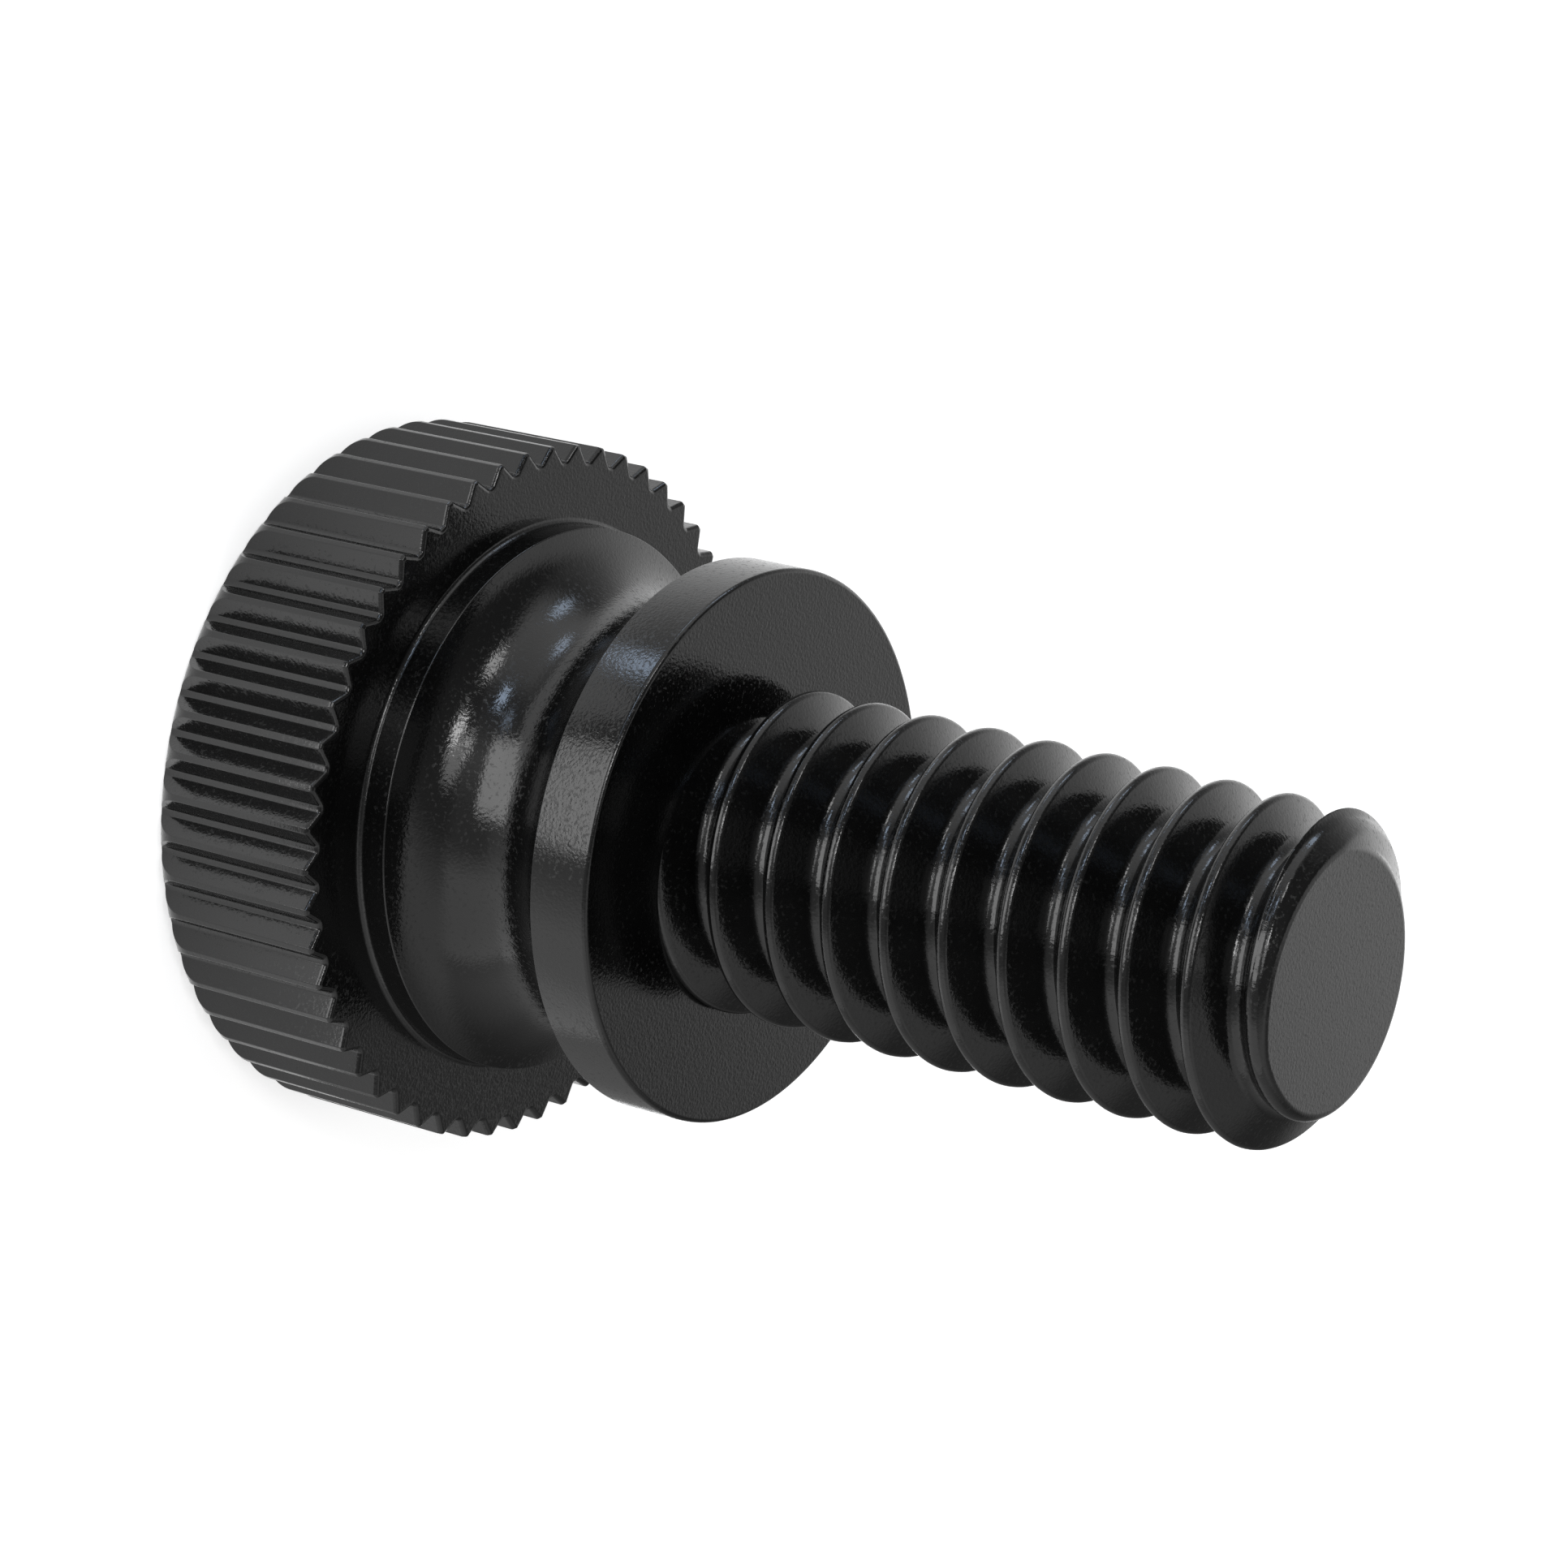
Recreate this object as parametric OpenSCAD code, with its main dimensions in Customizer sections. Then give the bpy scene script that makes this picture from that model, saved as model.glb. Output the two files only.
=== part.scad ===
// Knurled thumb screw, moulded in one piece of plastic.
// A straight-knurled disc head, a coved neck, a flat round collar that bears on the work
// and a coarse right-hand thread with a chamfered tip.
// It stands on the flat end of its head, at z = 0, with the thread pointing up the z axis.
// All lengths are in millimetres and all angles in degrees.

/* [Thread] */
// Major diameter over the thread crests
thread_diameter = 6.35; // [5:0.05:8]
// Axial distance from one turn to the next
thread_pitch = 1.27; // [0.9:0.01:1.6]
// Length from the bearing face of the collar to the tip
thread_length = 12.7; // [6:0.1:30]
// Width of the flat on the crest
crest_width = 0.17; // [0.08:0.01:0.25]
// Radial depth of the groove
groove_depth = 0.73; // [0.3:0.01:0.8]
// Angle of each flank from the plane square to the axis
flank_angle = 25; // [15:1:26]
// Height of the first crest above the bearing face, on the x axis
thread_start = 0.82; // [0:0.01:1.2]
// Diameter of the flat face at the tip
tip_diameter = 5.16; // [3:0.02:5.8]
// Straight facets in one turn of the thread
turn_steps = 48; // [24:4:60]

/* [Collar] */
// Diameter of the collar
collar_diameter = 10.72; // [9.6:0.02:12]
// Thickness of the collar
collar_thickness = 1.28; // [0.8:0.02:2.5]

/* [Neck] */
// Diameter of the short boss at the foot of the neck
boss_diameter = 10.72; // [9.6:0.02:12]
// Height of the boss
boss_height = 0.6; // [0.3:0.05:1.2]
// Distance from the boss to the back of the collar
cove_length = 3.47; // [2.4:0.01:5]
// Radial depth of the cove at the waist
cove_depth = 1.35; // [0.5:0.01:1.6]

/* [Head] */
// Diameter over the crests of the knurl
head_diameter = 13.74; // [13:0.02:20]
// Thickness of the head
head_thickness = 3.95; // [2:0.05:8]
// Radius of the large fillet round the outer end of the head, on which the grooves run out
end_fillet = 0.66; // [0.4:0.02:1]
// Number of straight grooves round the head
knurl_count = 54; // [30:2:60]
// Radial depth of each groove
knurl_depth = 0.31; // [0.1:0.01:0.35]
// Share of the tooth spacing taken by the flat on a crest
knurl_crest_share = 0.15; // [0.05:0.01:0.3]
// Share of the tooth spacing taken by the flat in a root
knurl_root_share = 0.15; // [0.05:0.01:0.3]

/* [Edges] */
// Chamfer on the inner rim of the head and on both rims of the collar
edge_break = 0.08; // [0.02:0.01:0.15]

/* [Hidden] */
$fn = 96;
// Smallest step kept between the boss and the roots of the knurl
head_step = 0.4;
// Smallest wall kept between the thread crests and the surface of the waist
waist_wall = 0.3;
// Smallest cove that still reads as one
least_cove = 0.2;
// Room between the stock a cut is made from and the surface it leaves alone
cut_room = 0.02;
// How far the outline of the knurl stands out past the crests
crest_room = 0.005;

thread_radius = thread_diameter / 2;
root_radius = thread_radius - groove_depth;
tip_radius = tip_diameter / 2;
tip_chamfer = max(thread_radius - tip_radius, cut_room);
flank_run = groove_depth * tan(flank_angle);

head_radius = head_diameter / 2;
knurl_root_radius = head_radius - knurl_depth;
collar_radius = collar_diameter / 2;
boss_radius = min(boss_diameter / 2, knurl_root_radius - head_step);
waist_radius = min(max(boss_radius - cove_depth, thread_radius + waist_wall), boss_radius - least_cove);

boss_top = head_thickness + boss_height;
collar_back = boss_top + cove_length;
seat_height = collar_back + collar_thickness;
tip_height = seat_height + thread_length;

// The cove is an arc through the edge of the boss, the waist and the back of the collar
cove_fall = boss_radius - waist_radius;
cove_radius = (pow(cove_length / 2, 2) + pow(cove_fall, 2)) / (2 * cove_fall);

// Corners of one pitch of the thread, as [height, radius]: crest, flank, root
thread_profile = [
    [-crest_width / 2, thread_radius],
    [crest_width / 2, thread_radius],
    [crest_width / 2 + flank_run, root_radius],
    [thread_pitch - crest_width / 2 - flank_run, root_radius]
];
profile_steps = len(thread_profile);
// Turns of thread hidden in the collar and neck, and turns cut away past the tip
buried_turns = 2;
spare_turns = 2;
thread_turns = buried_turns + ceil(thread_length / thread_pitch) + spare_turns;
thread_rows = thread_turns * profile_steps;

// Outline of the knurl, four corners to a tooth, with the flanks run on a little past the crests
function knurl_outline() =
    let(
        spacing = 360 / knurl_count,
        crest = spacing * knurl_crest_share / 2,
        root = spacing * (1 - knurl_root_share) / 2,
        outer = crest - (root - crest) * crest_room / knurl_depth,
        outer_radius = head_radius + crest_room
    )
    [
        for (tooth = [0 : knurl_count - 1])
            for (corner = [[-outer, outer_radius], [outer, outer_radius],
                           [root, knurl_root_radius], [spacing - root, knurl_root_radius]])
                let(angle = tooth * spacing + corner[0])
                [corner[1] * cos(angle), corner[1] * sin(angle)]
    ];

// Stock of the head: a disc with a large fillet round its outer end and a chamfer round the other
module head_stock() {
    fillet_middle = head_radius - end_fillet;
    rotate_extrude() {
        polygon([
            [0, 0],
            [fillet_middle, 0],
            [fillet_middle, end_fillet],
            [head_radius, end_fillet],
            [head_radius, head_thickness - edge_break],
            [head_radius - edge_break, head_thickness],
            [0, head_thickness]
        ]);
        translate([fillet_middle, end_fillet])
            circle(r = end_fillet);
    }
}

// Disc head with straight grooves all round
module head() {
    intersection() {
        translate([0, 0, -cut_room])
            linear_extrude(height = head_thickness + 2 * cut_room)
                polygon(knurl_outline());
        head_stock();
    }
}

// Boss and coved neck, running up inside the collar
module neck() {
    difference() {
        cylinder(h = collar_back + collar_thickness / 2, r = boss_radius);
        translate([0, 0, boss_top + cove_length / 2])
            rotate_extrude()
                translate([waist_radius + cove_radius, 0])
                    circle(r = cove_radius);
    }
}

// Flat round collar with both rims chamfered
module collar() {
    rotate_extrude()
        polygon([
            [0, collar_back],
            [collar_radius - edge_break, collar_back],
            [collar_radius, collar_back + edge_break],
            [collar_radius, seat_height - edge_break],
            [collar_radius - edge_break, seat_height],
            [0, seat_height]
        ]);
}

// Point of the thread surface, by column round the axis and row up the thread
function thread_point(column, row) =
    let(
        corner = thread_profile[row % profile_steps],
        turn = column / turn_steps,
        height = (floor(row / profile_steps) + turn) * thread_pitch + corner[0]
    )
    [corner[1] * cos(360 * turn), corner[1] * sin(360 * turn), height];

// Place of that point in the list, where a full turn leads back to the first column one pitch up
function thread_index(column, row) =
    column == 0 ? row
    : column == turn_steps ? row + profile_steps
    : (thread_rows + profile_steps + 1) + (column - 1) * (thread_rows + 1) + row;

// Ridge and groove as one closed body round the axis
module thread_stock() {
    points = [
        for (row = [0 : thread_rows + profile_steps])
            thread_point(0, row),
        for (column = [1 : turn_steps - 1])
            for (row = [0 : thread_rows])
                thread_point(column, row),
        [0, 0, thread_pitch / 2],
        [0, 0, (thread_turns + 0.5) * thread_pitch]
    ];
    bottom = len(points) - 2;
    top = len(points) - 1;
    faces = [
        for (column = [0 : turn_steps - 1])
            for (row = [0 : thread_rows - 1])
                let(
                    near = thread_index(column, row),
                    near_up = thread_index(column, row + 1),
                    far = thread_index(column + 1, row),
                    far_up = thread_index(column + 1, row + 1)
                )
                each [[near, near_up, far], [near_up, far_up, far]],
        for (column = [0 : turn_steps - 1])
            each [
                [bottom, thread_index(column, 0), thread_index(column + 1, 0)],
                [top, thread_index(column + 1, thread_rows), thread_index(column, thread_rows)]
            ],
        for (row = [0 : profile_steps - 1])
            each [
                [bottom, row + 1, row],
                [top, thread_rows + row, thread_rows + row + 1]
            ]
    ];
    polyhedron(points = points, faces = faces, convexity = 12);
}

// Thread cut to length, with the tip chamfered
module thread() {
    stock_radius = thread_radius + cut_room;
    intersection() {
        translate([0, 0, seat_height + thread_start - buried_turns * thread_pitch])
            thread_stock();
        rotate_extrude()
            polygon([
                [0, 0],
                [stock_radius, 0],
                [stock_radius, tip_height - tip_chamfer - cut_room],
                [thread_radius - tip_chamfer, tip_height],
                [0, tip_height]
            ]);
    }
}

module thumb_screw() {
    color([0.05, 0.05, 0.055]) {
        head();
        neck();
        collar();
        thread();
    }
}

thumb_screw();
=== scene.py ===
"""Knurled plastic thumb screw: finely modelled skin, black plastic, studio and camera."""

import math

import bmesh
import bpy
import numpy as np
from mathutils import Matrix, Vector


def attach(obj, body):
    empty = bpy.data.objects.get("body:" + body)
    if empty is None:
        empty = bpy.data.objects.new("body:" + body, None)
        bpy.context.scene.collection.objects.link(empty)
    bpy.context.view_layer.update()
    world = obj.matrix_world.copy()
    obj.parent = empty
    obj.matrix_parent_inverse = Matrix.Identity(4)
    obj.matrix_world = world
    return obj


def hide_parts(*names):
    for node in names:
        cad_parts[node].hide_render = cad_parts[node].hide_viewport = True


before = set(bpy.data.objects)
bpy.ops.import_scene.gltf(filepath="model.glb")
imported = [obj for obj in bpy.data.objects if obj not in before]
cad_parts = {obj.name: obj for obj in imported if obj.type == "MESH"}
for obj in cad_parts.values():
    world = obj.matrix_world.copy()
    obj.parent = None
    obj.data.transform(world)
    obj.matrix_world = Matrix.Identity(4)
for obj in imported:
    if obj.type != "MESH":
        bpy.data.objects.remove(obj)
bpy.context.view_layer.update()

MM = 0.001

# Sizes of the part in millimetres. They are those of its source, apart from three of the thread: here
# its root is 0.065 mm deeper, its flanks lean 1.5 degrees more and its chamfer lies 0.04 mm further out.
HEAD_RADIUS = 6.87
HEAD_THICKNESS = 3.95
END_FILLET = 0.66
KNURL_COUNT = 54
KNURL_DEPTH = 0.31
KNURL_CREST_SHARE = 0.15
KNURL_ROOT_SHARE = 0.15
BOSS_RADIUS = 5.36
BOSS_HEIGHT = 0.6
WAIST_RADIUS = 4.01
COVE_LENGTH = 3.47
COLLAR_RADIUS = 5.36
COLLAR_THICKNESS = 1.28
THREAD_RADIUS = 3.175
ROOT_RADIUS = 2.38
PITCH = 1.27
CREST_WIDTH = 0.17
FLANK_ANGLE = math.radians(26.5)
THREAD_START = 0.82
THREAD_LENGTH = 12.7
CHAMFER_RADIUS = 2.62

BOSS_TOP = HEAD_THICKNESS + BOSS_HEIGHT
COLLAR_BACK = BOSS_TOP + COVE_LENGTH
SEAT = COLLAR_BACK + COLLAR_THICKNESS
TIP = SEAT + THREAD_LENGTH
GROOVE_RADIUS = HEAD_RADIUS - KNURL_DEPTH
TOOTH_SPACING = 2 * math.pi / KNURL_COUNT

# Roundings in millimetres
KNURL_CREST_ROUND = 0.03
KNURL_ROOT_ROUND = 0.05
HEAD_EDGE = 0.10
BOSS_FOOT = 0.11
BOSS_EDGE = 0.03
COLLAR_BACK_EDGE = 0.03
COLLAR_EDGE = 0.10
CREST_ROUND = 0.13
ROOT_ROUND = 0.25
CHAMFER_ROUND = 0.03
TIP_ROUND = 0.20

# Limits that keep the knurl's outline sound where the fillet or an inset eats up its flanks
LEAST_FLANK = 1e-4
LEAST_CREST_ROUND = 0.01
MOST_ROUND_SHARE = 0.9
# Place of the one point between a crest's middle and its corner, as a share of the way
CREST_POINT_SHARE = 0.55

# Mesh density: columns round the axis, then steps or rows along each arc
TURN_STEPS = 160
ROUND_STEPS = 180
KNURL_ARC_STEPS = 2
EDGE_STEPS = 4
FINE_EDGE_STEPS = 3
FOOT_STEPS = 4
PROFILE_ARC_STEPS = 3
FINE_PROFILE_ARC_STEPS = 24
ROOT_EXTRA_STEPS = 2
PLAIN_FILLET_ROWS = 4
KNURLED_FILLET_ROWS = 13
COVE_ROWS = 29

# End of the thread, in millimetres below the tip: where it starts, where the ball that rounds the tip
# face's edge starts to roll, and where the surface starts to follow that ball
END_LENGTH = 0.72
BALL_REACH = 4 * TIP_ROUND
ROUND_REACH = 2.6 * TIP_ROUND
# Places of the ball and points on it that are tried, rows of the end, and rings in the tip face
BALL_PLACES = 81
BALL_ARC_POINTS = 61
END_ROWS = 42
TIP_ARC_ROWS = 25
TIP_FACE_RINGS = (0.6, 0.25)

# Turns of thread made below its start, and turns added to those of its length, before the cuts
BURIED_TURNS = 2
SPARE_TURNS = 4
# Tolerances in millimetres of the cut itself and of the heights that count as on it
CUT_TOLERANCE = 1e-6
LOOP_TOLERANCE = 1e-5

# Patches of the surface; the flat ones keep their own normal up to their edge
HEAD, HEAD_BACK, HEAD_FRONT, NECK, SEAT_FACE, THREAD, END, TIP_FACE = range(8)
FLATS = (HEAD_BACK, HEAD_FRONT, SEAT_FACE, TIP_FACE)
# Weight of a flat face in a normal, far above the area in square metres of any other face
FLAT_WEIGHT = 1.0
SHARPEST_SMOOTH_ANGLE = math.radians(40)


# ---------------------------------------------------------------- flat curves
def arc_corner(before, corner, after, radius, steps):
    """Points of the arc that rounds one corner of a flat path."""
    corner = np.array(corner, float)
    leg_in = np.array(before, float) - corner
    leg_out = np.array(after, float) - corner
    leg_in /= np.linalg.norm(leg_in)
    leg_out /= np.linalg.norm(leg_out)
    half = math.acos(max(-1.0, min(1.0, float(leg_in @ leg_out)))) / 2
    reach = radius / math.tan(half)
    middle = leg_in + leg_out
    centre = corner + middle / np.linalg.norm(middle) * radius / math.sin(half)
    first = corner + leg_in * reach - centre
    last = corner + leg_out * reach - centre
    turn = math.pi - 2 * half
    points = []
    for step in range(steps + 1):
        share = step / steps
        weight_in = math.sin((1 - share) * turn) / math.sin(turn)
        weight_out = math.sin(share * turn) / math.sin(turn)
        points.append(centre + first * weight_in + last * weight_out)
    return points


def on_circle(radius, angle):
    return np.array((radius * math.cos(angle), radius * math.sin(angle)))


def circle(radius, steps):
    return [on_circle(radius, 2 * math.pi * step / steps) for step in range(steps)]


def turned(points, angle):
    """Points turned round the axis."""
    cos, sin = math.cos(angle), math.sin(angle)
    return points @ np.array(((cos, sin), (-sin, cos)))


def line_at_radius(start, way, radius):
    """Point where a line on its way outwards passes a distance from the axis."""
    foot = start - way * float(start @ way)
    return foot + way * math.sqrt(radius ** 2 - float(foot @ foot))


# ---------------------------------------------------------------- mesh helpers
def add_face(bm, verts, patch):
    face = bm.faces.new(verts)
    face[bm.faces.layers.int["patch"]] = patch


def ring(bm, points, height):
    """Closed ring of vertices at one height."""
    return [bm.verts.new((x, y, height)) for x, y in points]


def join_rings(bm, lower, upper, patch):
    """Quads between two rings of the same count."""
    count = len(lower)
    for step in range(count):
        after = (step + 1) % count
        add_face(bm, (lower[step], lower[after], upper[after], upper[step]), patch)


def angle_of(vert):
    return math.atan2(vert.co.y, vert.co.x) % (2 * math.pi)


def angle_along(loop, index):
    """Angle of a loop's vertex, a full turn more where the index has passed the loop's end."""
    return angle_of(loop[index % len(loop)]) + 2 * math.pi * (index // len(loop))


def zip_rings(bm, outer, inner, patch):
    """Triangles between two rings of any count, both in order of angle round the axis."""
    outer = sorted(outer, key=angle_of)
    inner = sorted(inner, key=angle_of)
    near, far = 0, 0
    while near < len(outer) or far < len(inner):
        outer_first = angle_along(outer, near + 1) <= angle_along(inner, far + 1)
        a = outer[near % len(outer)]
        b = inner[far % len(inner)]
        if far >= len(inner) or (near < len(outer) and outer_first):
            add_face(bm, (a, outer[(near + 1) % len(outer)], b), patch)
            near += 1
        else:
            add_face(bm, (a, inner[(far + 1) % len(inner)], b), patch)
            far += 1


def fan_cap(bm, rim, height, patch):
    """Flat disc from a rim to a vertex on the axis."""
    middle = bm.verts.new((0, 0, height))
    for step in range(len(rim)):
        add_face(bm, (rim[step], rim[(step + 1) % len(rim)], middle), patch)


# ---------------------------------------------------------------- head
def flank_ends(crest_radius, groove_radius, inset):
    """Ends of the first tooth's flank, at the crest and in the groove, moved inwards by inset."""
    crest = on_circle(HEAD_RADIUS, TOOTH_SPACING * KNURL_CREST_SHARE / 2)
    root = on_circle(GROOVE_RADIUS, TOOTH_SPACING * (1 - KNURL_ROOT_SHARE) / 2)
    way = (crest - root) / np.linalg.norm(crest - root)
    start = root + np.array((way[1], -way[0])) * inset
    return line_at_radius(start, way, crest_radius), line_at_radius(start, way, groove_radius)


def half_tooth(cap, inset):
    """Outline from the middle of the first crest to the middle of the groove beside it."""
    groove_radius = GROOVE_RADIUS - inset
    crest_radius = max(min(cap, HEAD_RADIUS - inset), groove_radius + LEAST_FLANK)
    crest, root = flank_ends(crest_radius, groove_radius, inset)
    most_round = MOST_ROUND_SHARE * np.linalg.norm(crest - root)
    crest_round = min(max(KNURL_CREST_ROUND - inset, LEAST_CREST_ROUND), most_round)
    root_round = min(KNURL_ROOT_ROUND + inset, most_round)

    crest_turn = math.atan2(crest[1], crest[0])
    half = [on_circle(crest_radius, 0), on_circle(crest_radius, crest_turn * CREST_POINT_SHARE)]
    half += arc_corner(crest + (crest[1], -crest[0]), crest, root, crest_round, KNURL_ARC_STEPS)
    half += arc_corner(crest, root, root + (-root[1], root[0]), root_round, KNURL_ARC_STEPS)
    half.append(on_circle(groove_radius, TOOTH_SPACING / 2))
    half = np.array(half)
    if cap < groove_radius:
        half *= cap / np.linalg.norm(half, axis=1)[:, None]
    return half


def knurl_outline(cap, inset):
    """Outline of the knurl within a circle of radius cap, moved inwards by inset."""
    half = half_tooth(cap, inset)
    other_half = turned(half[-2:0:-1] * (1, -1), TOOTH_SPACING)
    tooth = np.vstack((half, other_half))
    return np.vstack([turned(tooth, TOOTH_SPACING * index) for index in range(KNURL_COUNT)])


def add_head(bm):
    """Knurled disc with a large fillet behind and a small one in front. Returns its front ring."""
    fillet_middle = HEAD_RADIUS - END_FILLET
    quarter = math.pi / 2
    run_out = math.acos((GROOVE_RADIUS - fillet_middle) / END_FILLET)
    plain_rows = np.linspace(quarter, run_out, PLAIN_FILLET_ROWS)[:-1]
    knurled_rows = np.linspace(run_out, 0, KNURLED_FILLET_ROWS)
    rings = []
    for turn in np.concatenate((plain_rows, knurled_rows)):
        cap = fillet_middle + END_FILLET * math.cos(turn)
        height = END_FILLET * (1 - math.sin(turn))
        rings.append(ring(bm, knurl_outline(cap, 0), height))
    for turn in np.linspace(0, quarter, EDGE_STEPS + 1):
        inset = HEAD_EDGE * (1 - math.cos(turn))
        height = HEAD_THICKNESS - HEAD_EDGE * (1 - math.sin(turn))
        rings.append(ring(bm, knurl_outline(HEAD_RADIUS, inset), height))
    for lower, upper in zip(rings, rings[1:]):
        join_rings(bm, lower, upper, HEAD)
    fan_cap(bm, rings[0], 0, HEAD_BACK)
    return rings[-1]


# ---------------------------------------------------------------- neck and collar
def cove_section():
    """Arc of the cove from the boss to the collar's back, as [radius, height]."""
    fall = BOSS_RADIUS - WAIST_RADIUS
    cove_radius = ((COVE_LENGTH / 2) ** 2 + fall ** 2) / (2 * fall)
    middle = (BOSS_TOP + COLLAR_BACK) / 2
    half_turn = math.asin(COVE_LENGTH / 2 / cove_radius)
    return [(WAIST_RADIUS + cove_radius * (1 - math.cos(turn)), middle + cove_radius * math.sin(turn))
            for turn in np.linspace(-half_turn, half_turn, COVE_ROWS)]


def neck_profile():
    """Half section from the head's front face to the collar's front face, as [radius, height]."""
    cove = cove_section()
    head_front = (HEAD_RADIUS, HEAD_THICKNESS)
    boss_foot = (BOSS_RADIUS, HEAD_THICKNESS)
    boss_top = (BOSS_RADIUS, BOSS_TOP)
    collar_back = (COLLAR_RADIUS, COLLAR_BACK)
    collar_front = (COLLAR_RADIUS, SEAT)
    foot = arc_corner(head_front, boss_foot, boss_top, BOSS_FOOT, FOOT_STEPS)
    edge = arc_corner(boss_foot, cove[0], cove[1], BOSS_EDGE, FINE_EDGE_STEPS)
    back = arc_corner(cove[-2], cove[-1], collar_front, COLLAR_BACK_EDGE, FINE_EDGE_STEPS)
    front = arc_corner(collar_back, collar_front, (0, SEAT), COLLAR_EDGE, EDGE_STEPS)
    return foot + edge + cove[1:-1] + back + front


def add_neck(bm):
    """Boss, cove and collar. Returns their first and last rings."""
    rings = [ring(bm, circle(radius, ROUND_STEPS), height) for radius, height in neck_profile()]
    for lower, upper in zip(rings, rings[1:]):
        join_rings(bm, lower, upper, NECK)
    return rings[0], rings[-1]


# ---------------------------------------------------------------- thread
def half_profile(arc_steps):
    """Thread from the middle of a crest to the middle of the groove, as [height, radius]."""
    crest_middle = (0, THREAD_RADIUS)
    crest_end = (CREST_WIDTH / 2, THREAD_RADIUS)
    run = (THREAD_RADIUS - ROOT_RADIUS) * math.tan(FLANK_ANGLE)
    root_end = (CREST_WIDTH / 2 + run, ROOT_RADIUS)
    root_middle = (PITCH / 2, ROOT_RADIUS)
    crest_arc = arc_corner(crest_middle, crest_end, root_end, CREST_ROUND, arc_steps)
    root_arc = arc_corner(crest_end, root_end, root_middle, ROOT_ROUND, arc_steps + ROOT_EXTRA_STEPS)
    return np.array([crest_middle, *crest_arc, *root_arc, root_middle])


FINE_PROFILE = half_profile(FINE_PROFILE_ARC_STEPS)


def thread_at(angle, height):
    """Radius of the thread's surface at an angle round the axis and a height."""
    phase = height - SEAT - THREAD_START - PITCH * angle / (2 * math.pi)
    phase = np.abs((phase / PITCH + 0.5) % 1.0 - 0.5) * PITCH
    return np.interp(phase, FINE_PROFILE[:, 0], FINE_PROFILE[:, 1])


def chamfered_at(angle, height):
    """The same with the chamfer, and a slightly rounded edge where they meet."""
    thread = thread_at(angle, height)
    chamfer = CHAMFER_RADIUS + TIP - height
    near = np.maximum(1 - np.abs(thread - chamfer) / CHAMFER_ROUND, 0)
    return np.minimum(thread, chamfer) - CHAMFER_ROUND * near ** 2 / 4


def end_radii(angles, heights):
    """Radii of the thread's end, where a ball rolled inside it rounds the edge of the tip face."""
    centres = np.linspace(TIP - BALL_REACH, TIP - TIP_ROUND, BALL_PLACES)
    turns = np.linspace(-math.pi / 2, math.pi / 2, BALL_ARC_POINTS)
    touched = chamfered_at(angles[:, None, None], centres[None, :, None] + TIP_ROUND * np.sin(turns))
    middle = (touched - TIP_ROUND * np.cos(turns)).min(axis=2)
    lift = heights[:, None] - centres[None, :]
    bulge = np.where(np.abs(lift) <= TIP_ROUND, np.sqrt(np.maximum(TIP_ROUND ** 2 - lift ** 2, 0)), -TIP)
    rolled = (middle[:, None, :] + bulge[None, :, :]).max(axis=2)
    plain = chamfered_at(angles[:, None], heights[None, :])
    share = np.clip((heights - (TIP - ROUND_REACH)) / TIP_ROUND, 0, 1)
    share = share * share * (3 - 2 * share)
    return plain + (np.minimum(rolled, plain) - plain) * share


def cut_flat(bm, height, keep_above):
    """Cut the mesh at a height and return the open loop there, in order of angle."""
    bmesh.ops.bisect_plane(
        bm, geom=bm.verts[:] + bm.edges[:] + bm.faces[:], dist=CUT_TOLERANCE,
        plane_co=(0, 0, height), plane_no=(0, 0, 1),
        clear_inner=keep_above, clear_outer=not keep_above)
    loop = {vert for edge in bm.edges if len(edge.link_faces) == 1 for vert in edge.verts
            if abs(vert.co.z - height) < LOOP_TOLERANCE}
    return sorted(loop, key=angle_of)


def add_turns(bm):
    """Sheet of thread in whole turns, which runs past the collar's face and past the tip."""
    half = half_profile(PROFILE_ARC_STEPS)
    phases = [(-height, radius) for height, radius in half[:0:-1]] + [tuple(point) for point in half[:-1]]
    turns = int(THREAD_LENGTH / PITCH) + SPARE_TURNS
    columns = []
    for column in range(TURN_STEPS):
        share = column / TURN_STEPS
        cos, sin = on_circle(1, 2 * math.pi * share)
        line = []
        for turn in range(turns + (column == 0)):
            base = SEAT + THREAD_START + (turn - BURIED_TURNS + share) * PITCH
            line += [bm.verts.new((radius * cos, radius * sin, base + phase)) for phase, radius in phases]
        columns.append(line)
    columns.append(columns[0][len(phases):])
    for left, right in zip(columns, columns[1:]):
        for row in range(turns * len(phases) - 1):
            add_face(bm, (left[row], right[row], right[row + 1], left[row + 1]), THREAD)


def add_end(bm, lower, start):
    """Chamfered end with the tip face, on the loop of the cut thread at the start's height."""
    angles = np.array([angle_of(vert) for vert in lower])
    rows = np.linspace(start, TIP - TIP_ROUND, END_ROWS)[1:]
    arc_turns = np.linspace(0, math.pi / 2, TIP_ARC_ROWS)[1:]
    heights = np.concatenate((rows, TIP - TIP_ROUND * (1 - np.sin(arc_turns))))
    radii = end_radii(angles, heights).T
    levels = [(around, height, END) for around, height in zip(radii, heights)]
    levels += [(radii[-1] * share, TIP, TIP_FACE) for share in TIP_FACE_RINGS]
    for around, height, patch in levels:
        upper = ring(bm, [on_circle(radius, angle) for radius, angle in zip(around, angles)], height)
        join_rings(bm, lower, upper, patch)
        lower = upper
    fan_cap(bm, lower, TIP, TIP_FACE)


def add_thread(bm):
    """Thread from the collar's face to the tip. Returns its loop of vertices on the collar's face."""
    add_turns(bm)
    seat_loop = cut_flat(bm, SEAT, keep_above=True)
    end_start = TIP - END_LENGTH
    add_end(bm, cut_flat(bm, end_start, keep_above=False), end_start)
    return seat_loop


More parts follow.
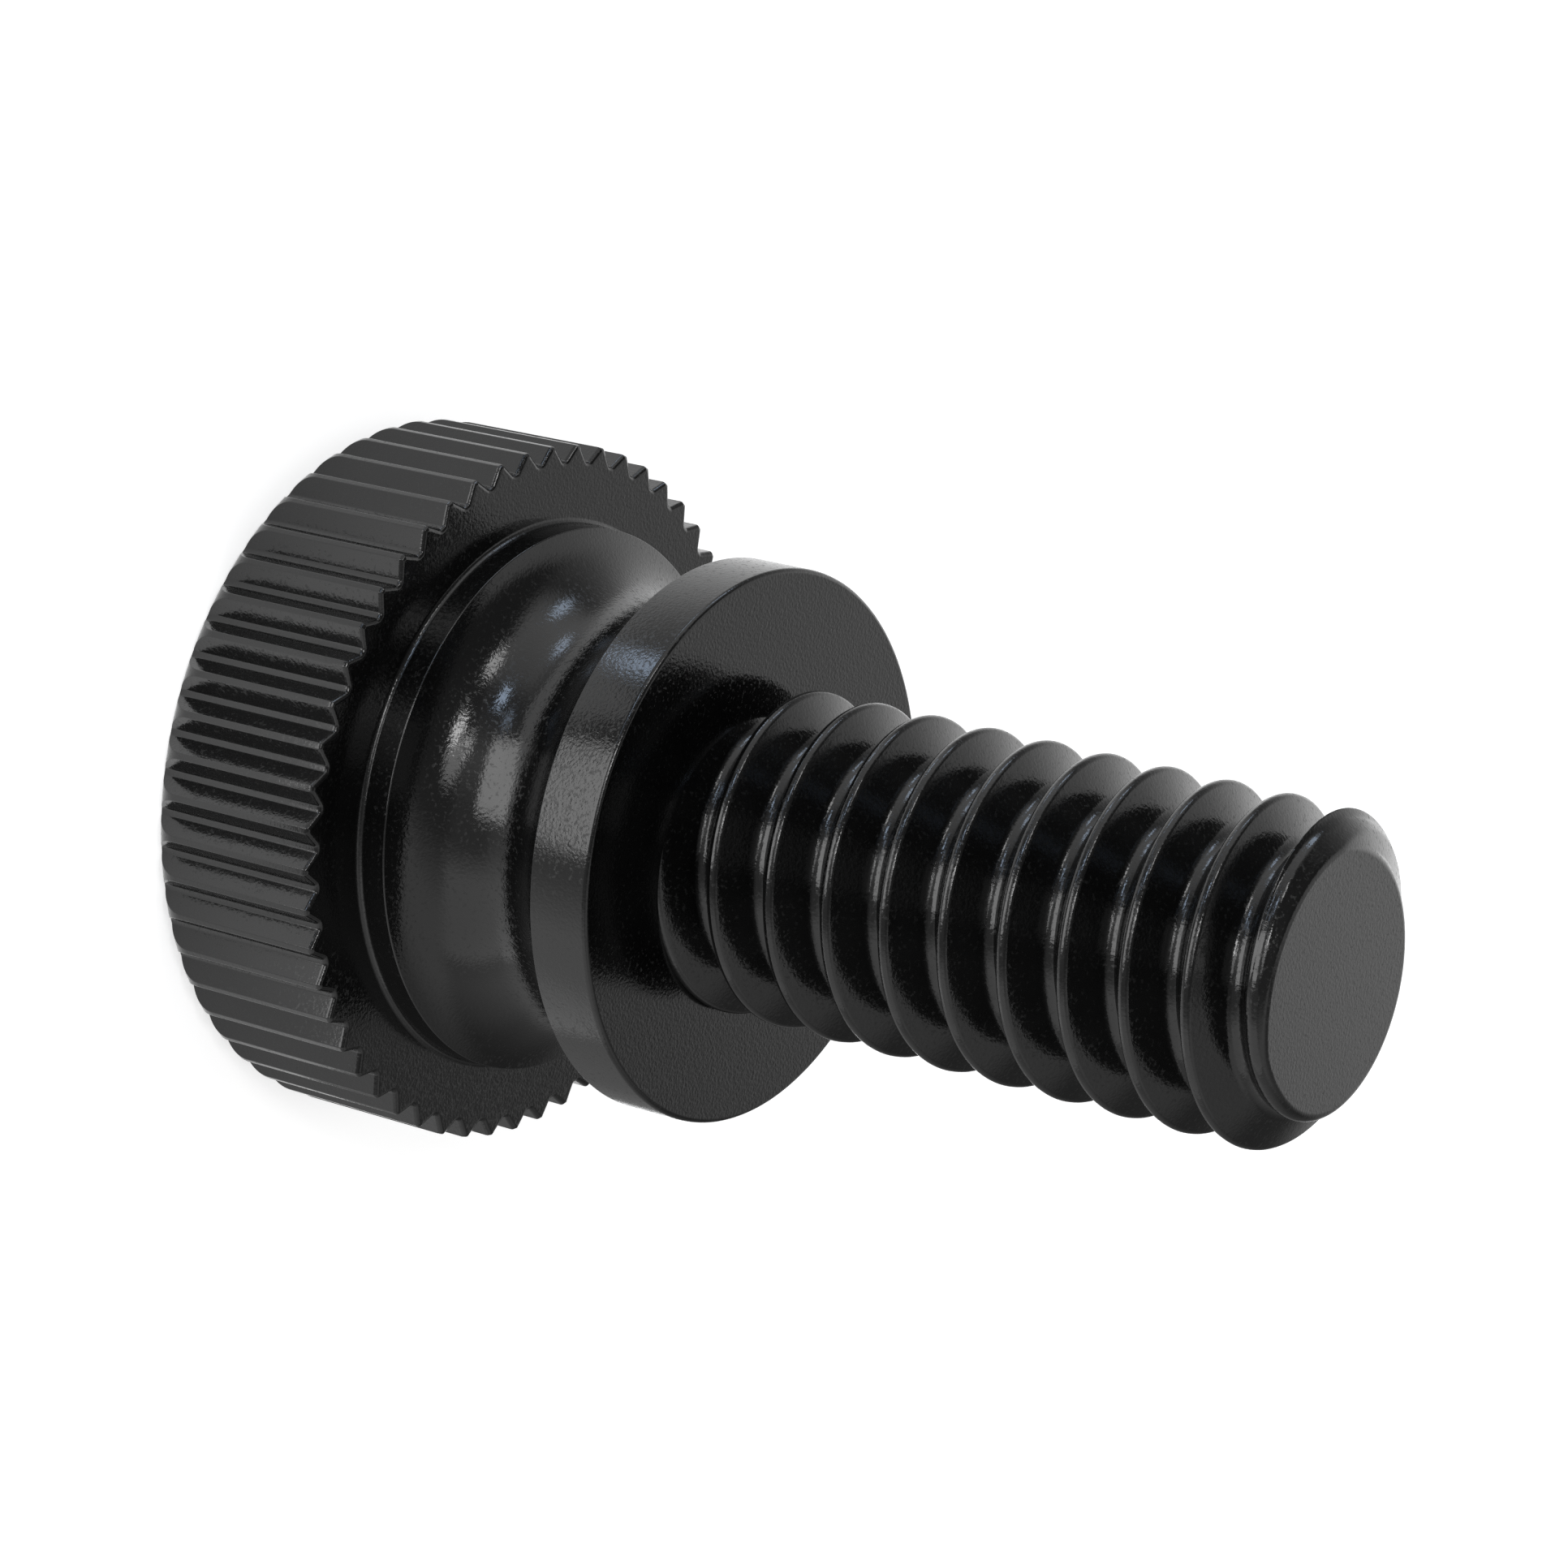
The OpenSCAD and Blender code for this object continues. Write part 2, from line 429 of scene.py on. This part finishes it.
# ---------------------------------------------------------------- whole screw
def read_all(items, name, kind=float, width=1):
    """One value, or one row of values, of each item of a mesh."""
    values = np.empty(len(items) * width, kind)
    items.foreach_get(name, values)
    return values.reshape(-1, width) if width > 1 else values


def set_normals(mesh):
    """Shade flats flat up to their edge, and elsewhere by the mean round a point, weighted by area."""
    corners = len(mesh.loops)
    verts = read_all(mesh.loops, "vertex_index", int)
    totals = read_all(mesh.polygons, "loop_total", int)
    faces = np.repeat(np.arange(len(totals)), totals)
    normals = read_all(mesh.polygons, "normal", width=3)
    weights = read_all(mesh.polygons, "area")
    patches = read_all(mesh.attributes["patch"].data, "value", int)
    flat = np.isin(patches, FLATS)
    weights[flat] = FLAT_WEIGHT

    # Each corner is set against every corner at the same vertex in turn, itself first
    order = np.argsort(verts, kind="stable")
    counts = np.bincount(verts)
    starts = np.cumsum(counts) - counts
    place = np.arange(corners) - starts[verts[order]]
    least_match = math.cos(SHARPEST_SMOOTH_ANGLE)
    total = np.zeros((corners, 3))
    for shift in range(counts.max()):
        here = np.nonzero(counts[verts[order]] > shift)[0]
        corner = order[here]
        vert = verts[corner]
        other = order[starts[vert] + (place[here] + shift) % counts[vert]]
        mine, theirs = faces[corner], faces[other]
        match = (normals[mine] * normals[theirs]).sum(axis=1) > least_match
        match &= ~((patches[mine] == THREAD) & (patches[theirs] == SEAT_FACE))
        match &= ~flat[mine] | (patches[mine] == patches[theirs])
        total[corner] += normals[theirs] * (weights[theirs] * match)[:, None]
    total /= np.linalg.norm(total, axis=1)[:, None]
    mesh.normals_split_custom_set(total.tolist())


def build_screw(name):
    """Closed skin of the whole screw."""
    bm = bmesh.new()
    bm.faces.layers.int.new("patch")
    seat_loop = add_thread(bm)
    neck_foot, collar_rim = add_neck(bm)
    head_rim = add_head(bm)
    zip_rings(bm, head_rim, neck_foot, HEAD_FRONT)
    zip_rings(bm, collar_rim, seat_loop, SEAT_FACE)
    bmesh.ops.scale(bm, vec=(MM, MM, MM), verts=bm.verts)
    bmesh.ops.recalc_face_normals(bm, faces=bm.faces)
    for face in bm.faces:
        face.smooth = True
    mesh = bpy.data.meshes.new(name)
    bm.to_mesh(mesh)
    bm.free()
    set_normals(mesh)
    screw = bpy.data.objects.new(name, mesh)
    bpy.context.scene.collection.objects.link(screw)
    return screw


# ---------------------------------------------------------------- node helpers
def new_material(name):
    material = bpy.data.materials.new(name)
    material.use_nodes = True
    material.node_tree.nodes.clear()
    return material, material.node_tree.nodes, material.node_tree.links


def noise(nodes, links, place, scale, detail):
    """Noise in the object's own space."""
    node = nodes.new("ShaderNodeTexNoise")
    node.inputs["Scale"].default_value = scale
    node.inputs["Detail"].default_value = detail
    links.new(place.outputs["Object"], node.inputs["Vector"])
    return node.outputs["Fac"]


def smooth_map(nodes, links, value, source, target):
    """Value moved smoothly from one span of numbers to another."""
    node = nodes.new("ShaderNodeMapRange")
    node.interpolation_type = "SMOOTHSTEP"
    node.inputs["From Min"].default_value, node.inputs["From Max"].default_value = source
    node.inputs["To Min"].default_value, node.inputs["To Max"].default_value = target
    links.new(value, node.inputs["Value"])
    return node.outputs["Result"]


def calculate(nodes, links, operation, *values):
    """Math node on sockets. Returns the node, so that an input left over can be set."""
    node = nodes.new("ShaderNodeMath")
    node.operation = operation
    for value, socket in zip(values, node.inputs):
        links.new(value, socket)
    return node


# ---------------------------------------------------------------- plastic
PLASTIC_IOR = 1.5
# Faint mottling of the colour: two greys, at two levels of the noise
TONE_SCALE, TONE_DETAIL = 900, 3
TONES = ((0.3, 0.0015), (0.7, 0.003))
# Gloss with fine duller specks: levels of the noise, and the roughness at them
GLOSS_SCALE, GLOSS_DETAIL = 13000, 1
SPECK_LEVELS = (0.52, 0.75)
ROUGHNESS = (0.12, 0.38)
# Fine grain of the moulding
GRAIN_SCALE, GRAIN_DETAIL = 16000, 2
GRAIN_HEIGHT = 0.0000038


def black_plastic():
    """Glossy black plastic with a fine moulded grain."""
    material, nodes, links = new_material("black_plastic")
    out = nodes.new("ShaderNodeOutputMaterial")
    shader = nodes.new("ShaderNodeBsdfPrincipled")
    links.new(shader.outputs["BSDF"], out.inputs["Surface"])
    shader.inputs["IOR"].default_value = PLASTIC_IOR
    place = nodes.new("ShaderNodeTexCoord")

    tone = noise(nodes, links, place, TONE_SCALE, TONE_DETAIL)
    colours = nodes.new("ShaderNodeValToRGB")
    for element, (level, grey) in zip(colours.color_ramp.elements, TONES):
        element.position = level
        element.color = (grey, grey, grey, 1)
    links.new(tone, colours.inputs["Fac"])
    links.new(colours.outputs["Color"], shader.inputs["Base Color"])

    gloss = noise(nodes, links, place, GLOSS_SCALE, GLOSS_DETAIL)
    links.new(smooth_map(nodes, links, gloss, SPECK_LEVELS, ROUGHNESS), shader.inputs["Roughness"])

    bump = nodes.new("ShaderNodeBump")
    bump.inputs["Strength"].default_value = 1.0
    bump.inputs["Distance"].default_value = GRAIN_HEIGHT
    links.new(noise(nodes, links, place, GRAIN_SCALE, GRAIN_DETAIL), bump.inputs["Height"])
    links.new(bump.outputs["Normal"], shader.inputs["Normal"])
    return material


# ---------------------------------------------------------------- white boards
BOARD_COLOUR = (0.88, 0.88, 0.88, 1)
GLOW_COLOUR = (1, 1, 1, 1)
BACKDROP_GLOW = 0.6
# Painted pool of light: the floor glows more in a pool in front of the head, within the first radius,
# than outside the second
PAINTED_POOL_MIDDLE = (0, 11 * MM, 0)
PAINTED_POOL_RADII = (2 * MM, 7 * MM)
FLOOR_GLOW = (1.0, 0.58)


def pale_board(name):
    """White that stays white in the picture and in reflections. Returns it and the socket of its glow."""
    material, nodes, links = new_material(name)
    out = nodes.new("ShaderNodeOutputMaterial")
    diffuse = nodes.new("ShaderNodeBsdfDiffuse")
    diffuse.inputs["Color"].default_value = BOARD_COLOUR
    glow = nodes.new("ShaderNodeEmission")
    glow.inputs["Color"].default_value = GLOW_COLOUR
    rays = nodes.new("ShaderNodeLightPath").outputs
    mirrored = calculate(nodes, links, "MAXIMUM", rays["Is Glossy Ray"], rays["Is Transmission Ray"])
    seen = calculate(nodes, links, "MAXIMUM", rays["Is Camera Ray"], mirrored.outputs["Value"])
    strength = calculate(nodes, links, "MULTIPLY", seen.outputs["Value"])
    links.new(strength.outputs["Value"], glow.inputs["Strength"])
    both = nodes.new("ShaderNodeAddShader")
    links.new(diffuse.outputs["BSDF"], both.inputs[0])
    links.new(glow.outputs["Emission"], both.inputs[1])
    links.new(both.outputs["Shader"], out.inputs["Surface"])
    return material, strength.inputs[1]


def floor_white_painted_pool():
    """White with a painted pool of light, a stronger glow, in front of the head."""
    material, glow = pale_board("floor_white_painted_pool")
    nodes, links = material.node_tree.nodes, material.node_tree.links
    place = nodes.new("ShaderNodeTexCoord")
    away = nodes.new("ShaderNodeVectorMath")
    away.operation = "DISTANCE"
    away.inputs[1].default_value = PAINTED_POOL_MIDDLE
    links.new(place.outputs["Object"], away.inputs[0])
    links.new(smooth_map(nodes, links, away.outputs["Value"], PAINTED_POOL_RADII, FLOOR_GLOW), glow)
    return material


def backdrop_white():
    """Even white for the backdrop."""
    material, glow = pale_board("backdrop_white")
    glow.default_value = BACKDROP_GLOW
    return material


# ---------------------------------------------------------------- studio
# Directions are longitude and latitude in degrees round the screw's axis, with +X at 0, 0.
# The camera looks along longitude 267, down by 33, so the room in front of the screw is at 0 to 180.
LAMP_DISTANCE = 2.0
SCREW_MIDDLE = Vector((0, 0, TIP / 2)) * MM
NEUTRAL = (1, 1, 1)
COOL = (0.8, 1.0, 1.3)

# Camera: the point near the axis that it looks at, its direction and distance from there, and its lens
CAMERA_AIM = Vector((1.2839, -0.0695, 9.5522)) * MM
CAMERA_DIRECTION = (86.90, 33.369)
CAMERA_ROLL = math.radians(103.04)
CAMERA_DISTANCE = 99.734 * MM
CAMERA_SENSOR = 36.0
CAMERA_LENS = 120.99
CAMERA_CLIP = (0.005, 20.0)

# Boards: corners of the floor in millimetres, the backdrop's distance behind the aim, and the share
# of the picture that it covers
FLOOR_CORNERS = ((12.7, 15.25), (-17.5, 6.75), (-17.8, 1.5), (-8.2, 1.5), (-8.2, -80), (29.5, -62))
BACKDROP_DISTANCE = 250 * MM
BACKDROP_MARGIN = 1.15

# Brightness of the room at the screw's level, over it and below it, by longitude
WALLS = (
    (0, 1.2), (30, 0.9), (45, 0.3), (60, 0.4), (75, 0.8), (100, 0.4), (120, 0.4), (135, 1.15),
    (165, 1.05), (195, 0.55), (225, 0.18), (243, 0.12), (255, 0.4), (263, 0.85), (270, 1.15),
    (285, 1.5), (316, 0.5), (335, 0.25), (347, 0.9),
)
CEILING = (
    (0, 0.15), (50, 0.2), (115, 0.25), (155, 0.85), (195, 0.8), (235, 0.35), (262, 0.2),
    (270, 0.6), (290, 0.85), (312, 0.8), (322, 0.15),
)
LOWER_ROOM = (
    (0, 0.7), (35, 0.4), (55, 0.25), (115, 0.6), (140, 1.2), (165, 1.0), (195, 0.6), (225, 0.3),
    (250, 0.25), (290, 1.2), (312, 1.6), (335, 1.1),
)
# Spans over which the walls turn into the ceiling and into the lower room, as sines of the latitude
CEILING_SPAN = (0.43, 0.63)
LOWER_SPAN = (-0.15, -0.45)

# Lamps as longitude, latitude, width, height, brightness and colour; the window is a rectangle
WINDOW = (83, -17, 39, 43, 3.3, NEUTRAL)
ROUND_LAMPS = {
    "key": (62, 47, 11, 12, 11.0, NEUTRAL),
    "key_glow": (78, 42, 20, 22, 2.3, NEUTRAL),
    "second": (70, 31, 9, 9, 5.5, NEUTRAL),
    "ceiling_warm": (25, 36, 13, 12, 6.0, NEUTRAL),
    "ceiling_near": (44, 12, 11, 10, 6.0, COOL),
    "ceiling_low": (54, -4, 9, 9, 2.2, COOL),
    "ceiling_side": (347, 9, 13, 10, 3.2, COOL),
    "ceiling_left": (5, -15, 14, 8, 3.2, COOL),
    "ceiling_end": (23, -33, 9, 11, 4.0, COOL),
}
# Share of its width by height that each shape of lamp fills
LAMP_FILL = {"RECTANGLE": 1.0, "ELLIPSE": math.pi / 4}


def direction(longitude, latitude):
    longitude, latitude = math.radians(longitude), math.radians(latitude)
    flat = math.cos(latitude)
    return Vector((flat * math.cos(longitude), flat * math.sin(longitude), math.sin(latitude)))


def add_lamp(name, shape, longitude, latitude, width, height, brightness, colour):
    """Soft lamp that fills an angle of width by height degrees, seen from the screw."""
    data = bpy.data.lights.new(name, "AREA")
    data.shape = shape
    data.size = 2 * LAMP_DISTANCE * math.tan(math.radians(width / 2))
    data.size_y = 2 * LAMP_DISTANCE * math.tan(math.radians(height / 2))
    data.energy = math.pi * data.size * data.size_y * LAMP_FILL[shape] * brightness
    data.color = colour
    lamp = bpy.data.objects.new(name, data)
    away = direction(longitude, latitude)
    lamp.location = SCREW_MIDDLE + away * LAMP_DISTANCE
    lamp.rotation_euler = away.to_track_quat("Z", "Y").to_euler()
    bpy.context.scene.collection.objects.link(lamp)


def add_board(name, corners, material):
    """Flat board."""
    mesh = bpy.data.meshes.new(name)
    mesh.from_pydata([(x, y, 0) for x, y in corners], [], [range(len(corners))])
    mesh.materials.append(material)
    board = bpy.data.objects.new(name, mesh)
    bpy.context.scene.collection.objects.link(board)
    return board


def add_floor():
    """White board whose edges lie close by, so that light comes in below it too."""
    add_board("floor", [(x * MM, y * MM) for x, y in FLOOR_CORNERS], floor_white_painted_pool())


def add_backdrop(camera):
    """White board square to the view, far behind the screw, that fills the rest of the picture."""
    distance = BACKDROP_DISTANCE + CAMERA_DISTANCE
    half = BACKDROP_MARGIN * distance * camera.data.sensor_width / camera.data.lens / 2
    corners = [(-half, -half), (half, -half), (half, half), (-half, half)]
    backdrop = add_board("backdrop", corners, backdrop_white())
    backdrop.matrix_world = camera.matrix_world @ Matrix.Translation((0, 0, -distance))


def brightness_round(nodes, links, around, levels):
    """Colour by longitude from a ramp of levels; the gradient starts its turn at longitude 180."""
    stops = sorted((((longitude + 180) % 360) / 360, level) for longitude, level in levels)
    node = nodes.new("ShaderNodeValToRGB")
    ramp = node.color_ramp
    while len(ramp.elements) < len(stops):
        ramp.elements.new(0.5)
    for element, (place_in_turn, level) in zip(ramp.elements, stops):
        element.position = place_in_turn
        element.color = (level, level, level, 1)
    links.new(around.outputs["Fac"], node.inputs["Fac"])
    return node.outputs["Color"]


def blend_by_height(nodes, links, height, span, first, second):
    """Colour that goes from the first at one end of a span of heights to the second at the other."""
    mix = nodes.new("ShaderNodeMix")
    mix.data_type = "RGBA"
    links.new(smooth_map(nodes, links, height, span, (0, 1)), mix.inputs["Factor"])
    links.new(first, mix.inputs["A"])
    links.new(second, mix.inputs["B"])
    return mix.outputs["Result"]


def add_world():
    """Room that changes in brightness all round, in one way at the walls, over them and below them."""
    world = bpy.data.worlds.new("studio")
    world.use_nodes = True
    nodes, links = world.node_tree.nodes, world.node_tree.links
    background = nodes["Background"]
    place = nodes.new("ShaderNodeTexCoord")
    around = nodes.new("ShaderNodeTexGradient")
    around.gradient_type = "RADIAL"
    links.new(place.outputs["Generated"], around.inputs["Vector"])
    walls, ceiling, lower_room = (
        brightness_round(nodes, links, around, levels) for levels in (WALLS, CEILING, LOWER_ROOM))
    split = nodes.new("ShaderNodeSeparateXYZ")
    links.new(place.outputs["Generated"], split.inputs["Vector"])
    upper = blend_by_height(nodes, links, split.outputs["Z"], CEILING_SPAN, walls, ceiling)
    whole = blend_by_height(nodes, links, split.outputs["Z"], LOWER_SPAN, upper, lower_room)
    links.new(whole, background.inputs["Color"])
    background.inputs["Strength"].default_value = 1.0
    bpy.context.scene.world = world


def add_camera():
    """Camera on the photograph's viewing line."""
    back = direction(*CAMERA_DIRECTION)
    right = Vector((0, 0, 1)).cross(back).normalized()
    turn = Matrix((right, back.cross(right), back)).transposed() @ Matrix.Rotation(CAMERA_ROLL, 3, "Z")
    data = bpy.data.cameras.new("camera")
    data.sensor_fit = "HORIZONTAL"
    data.sensor_width = CAMERA_SENSOR
    data.lens = CAMERA_LENS
    data.clip_start, data.clip_end = CAMERA_CLIP
    camera = bpy.data.objects.new("camera", data)
    camera.matrix_world = Matrix.Translation(CAMERA_AIM + back * CAMERA_DISTANCE) @ turn.to_4x4()
    bpy.context.scene.collection.objects.link(camera)
    bpy.context.scene.camera = camera
    return camera


# ---------------------------------------------------------------- scene
plastic = black_plastic()
skin = build_screw("thumb_screw_skin")
skin.data.materials.append(plastic)
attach(skin, "root")
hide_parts("thumb_screw")

add_floor()
add_world()
add_lamp("window", "RECTANGLE", *WINDOW)
for name, settings in ROUND_LAMPS.items():
    add_lamp(name, "ELLIPSE", *settings)
add_backdrop(add_camera())

view = bpy.context.scene.view_settings
view.view_transform = "Standard"
